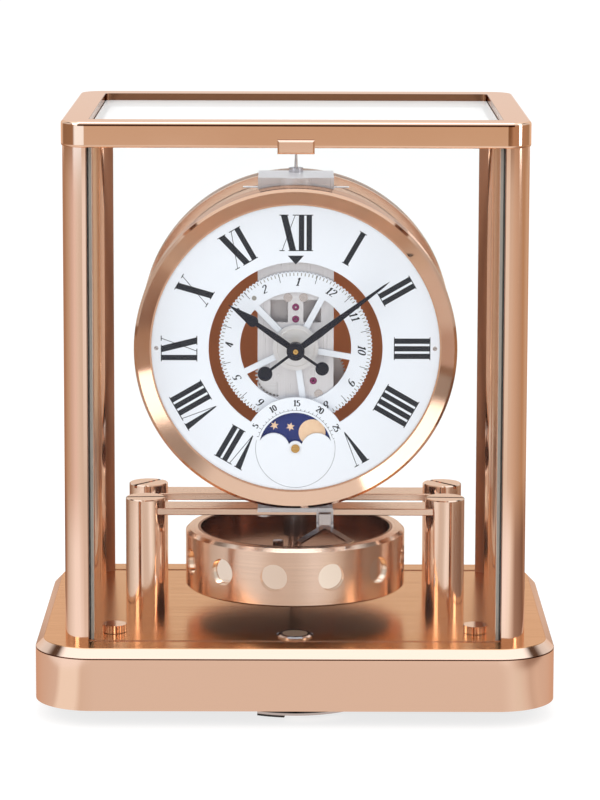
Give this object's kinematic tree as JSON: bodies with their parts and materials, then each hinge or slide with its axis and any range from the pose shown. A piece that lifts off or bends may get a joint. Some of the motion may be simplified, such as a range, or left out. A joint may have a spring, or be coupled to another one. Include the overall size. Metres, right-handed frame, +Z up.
{
  "type": "moon phase desk clock",
  "caption": "Glazed cabinet clock: drum movement on pillars over a slow torsion balance, ring dial with month ring and moon disc, hinged front glass and levelling feet.",
  "frame": {"origin": "centre of the plinth's footprint on the table, on the balance's axis", "axes": "+Z up through the clock, +Y from the dial to the back, +X to the right seen from the front"},
  "size_m": [0.18, 0.135, 0.2077],
  "materials": {
    "rose_gold": "brushed rose gilt",
    "rose_gold_trim": "polished rose gilt",
    "post_gold": "polished rose gilt",
    "frame_gold": "polished rose gilt",
    "pillar_gold": "polished rose gilt",
    "bar_gold": "satin rose gilt",
    "bezel_gold": "polished rose gilt",
    "drum_gold": "satin rose gilt",
    "well_gold": "mirror rose gilt",
    "balance_gold": "brushed rose gilt",
    "web_gold": "brushed rose gilt",
    "knob_gold": "knurled rose gilt",
    "bellows_brass": "satin",
    "wheel_brass": "gilt",
    "dark_steel": "matt black",
    "screw_steel": "polished",
    "plate_silver": "satin rhodium",
    "bridge_silver": "vertically brushed",
    "cover_silver": "satin",
    "cap_silver": "polished",
    "wheel_steel": "satin",
    "barrel_steel": "satin",
    "lever_steel": "satin",
    "foot_steel": "satin",
    "stop_chrome": "polished",
    "hand_blue": "dark blue-grey lacquer",
    "dial_white": "matt white",
    "month_white": "matt white",
    "moon_blue": "deep blue lacquer",
    "ruby": "polished red stone",
    "clear_glass": "clear",
    "vial_glass": "clear",
    "foot_rubber": "matt",
    "grip_black": "matt"
  },
  "bodies": {
    "case": {"base_shell": "rose_gold", "base_cover": "dark_steel", "short_screws": "screw_steel", "long_screws": "screw_steel", "rear_foot": "foot_rubber", "level_bezel": "rose_gold_trim", "level_vial": "vial_glass", "corner_posts": "post_gold", "top_frame": "frame_gold", "side_glasses": "clear_glass", "back_glass": "clear_glass", "top_glass": "clear_glass", "pillars": "pillar_gold", "pillar_caps": "cap_silver", "bridge_bars": "bar_gold", "movement_base": "plate_silver", "front_plate": "plate_silver", "rear_plate": "plate_silver", "movement_pillars": "screw_steel", "calendar_bridge": "bridge_silver", "bridge_screws": "screw_steel", "jewels": "ruby", "suspension_block": "plate_silver", "suspension_head": "screw_steel", "bezel": "bezel_gold", "drum_shell": "drum_gold", "drum_well": "well_gold", "rear_ring": "bezel_gold", "rear_cover": "drum_gold", "bellows": "bellows_brass", "dial": "dial_white", "dial_clamp_ring": "bezel_gold", "centre_cover": "cover_silver"},
    "minute": {"minute_hand": "hand_blue", "centre_arbor": "wheel_brass"},
    "minute_wheel": {"minute_wheel": "wheel_steel"},
    "hour": {"hour_hand": "hand_blue", "hour_wheel": "wheel_brass"},
    "day_wheel": {"day_wheel": "wheel_brass"},
    "barrel": {"barrel": "barrel_steel"},
    "third_wheel": {"third_wheel": "wheel_brass"},
    "month_wheel": {"month_wheel": "month_white"},
    "moon": {"moon_disc": "moon_blue", "moon_arbor": "wheel_brass"},
    "balance": {"balance_ring": "balance_gold", "balance_web": "web_gold", "balance_hub": "plate_silver", "regulator_knob": "plate_silver", "torsion_wire": "screw_steel"},
    "balance_stop": {"balance_stop": "stop_chrome"},
    "door": {"front_glass": "clear_glass", "door_knob": "rose_gold"},
    "lock_lever": {"lock_lever": "lever_steel", "lock_lever_grip": "grip_black", "lock_cam": "lever_steel"},
    "lift_post": {"lift_post": "lever_steel"},
    "left_knob": {"left_level_knob": "knob_gold"},
    "right_knob": {"right_level_knob": "knob_gold"},
    "left_foot": {"left_level_foot": "foot_steel"},
    "right_foot": {"right_level_foot": "foot_steel"}
  },
  "joints": [
    {"name": "minute_hand_turn", "type": "hinge", "parent": "case", "child": "minute", "pos_m": [0, 0, 0.12585], "axis": [0, 1, 0], "continuous": true},
    {"name": "minute_wheel_turn", "type": "hinge", "parent": "case", "child": "minute_wheel", "pos_m": [0.006, 0, 0.12585], "axis": [0, 1, 0], "continuous": true},
    {"name": "hour_hand_turn", "type": "hinge", "parent": "case", "child": "hour", "pos_m": [0, 0, 0.12585], "axis": [0, 1, 0], "continuous": true},
    {"name": "day_wheel_turn", "type": "hinge", "parent": "case", "child": "day_wheel", "pos_m": [-0.006, 0, 0.11585], "axis": [0, 1, 0], "continuous": true},
    {"name": "barrel_turn", "type": "hinge", "parent": "case", "child": "barrel", "pos_m": [0.0062, 0, 0.11385], "axis": [0, 1, 0], "continuous": true},
    {"name": "third_wheel_turn", "type": "hinge", "parent": "case", "child": "third_wheel", "pos_m": [0, 0, 0.13565], "axis": [0, 1, 0], "continuous": true},
    {"name": "month_wheel_turn", "type": "hinge", "parent": "case", "child": "month_wheel", "pos_m": [0, 0, 0.12585], "axis": [0, 1, 0], "continuous": true},
    {"name": "moon_turn", "type": "hinge", "parent": "case", "child": "moon", "pos_m": [0, 0, 0.09045], "axis": [0, 1, 0], "continuous": true},
    {"name": "balance_twist", "type": "hinge", "parent": "case", "child": "balance", "pos_m": [0, 0, 0.05], "axis": [0, 0, 1], "range_deg": [-270, 270], "stiffness_Nm_per_rad": 0.000004},
    {"name": "balance_stop_press", "type": "hinge", "parent": "case", "child": "balance_stop", "pos_m": [0.0105, -0.022, 0.0609], "axis": [1, 0, 0], "range_deg": [0, 2]},
    {"name": "door_tip", "type": "hinge", "parent": "case", "child": "door", "pos_m": [0, -0.0544, 0.02785], "axis": [1, 0, 0], "range_deg": [0, 30]},
    {"name": "lock_lever_turn", "type": "hinge", "parent": "case", "child": "lock_lever", "pos_m": [0, -0.03, 0.005], "axis": [0, 0, 1], "range_deg": [0, 24]},
    {"name": "lift_post_rise", "type": "slide", "parent": "case", "child": "lift_post", "axis": [0, 0, 1], "range_m": [0, 0.0009]},
    {"name": "left_foot_screw", "type": "slide", "parent": "case", "child": "left_foot", "axis": [0, 0, -1], "range_m": [0, 0.003]},
    {"name": "left_knob_turn", "type": "hinge", "parent": "case", "child": "left_knob", "pos_m": [-0.063, -0.0408, 0.03], "axis": [0, 0, 1], "range_deg": [0, 1080]},
    {"name": "right_foot_screw", "type": "slide", "parent": "case", "child": "right_foot", "axis": [0, 0, -1], "range_m": [0, 0.003]},
    {"name": "right_knob_turn", "type": "hinge", "parent": "case", "child": "right_knob", "pos_m": [0.063, -0.0408, 0.03], "axis": [0, 0, 1], "range_deg": [0, 1080]}
  ],
  "couplings": [
    {"joint": "minute_wheel_turn", "follows": "minute_hand_turn", "ratio": -0.33333},
    {"joint": "hour_hand_turn", "follows": "minute_hand_turn", "ratio": 0.083333},
    {"joint": "day_wheel_turn", "follows": "minute_hand_turn", "ratio": -0.041667},
    {"joint": "barrel_turn", "follows": "minute_hand_turn", "ratio": -0.2},
    {"joint": "third_wheel_turn", "follows": "minute_hand_turn", "ratio": -3.3333},
    {"joint": "month_wheel_turn", "follows": "minute_hand_turn", "ratio": 0.00011408},
    {"joint": "moon_turn", "follows": "minute_hand_turn", "ratio": 0.00070547},
    {"joint": "lift_post_rise", "follows": "lock_lever_turn", "m_per_rad": 0.0019099},
    {"joint": "left_knob_turn", "follows": "left_foot_screw", "rad_per_m": 6283.2},
    {"joint": "right_knob_turn", "follows": "right_foot_screw", "rad_per_m": 6283.2}
  ]
}
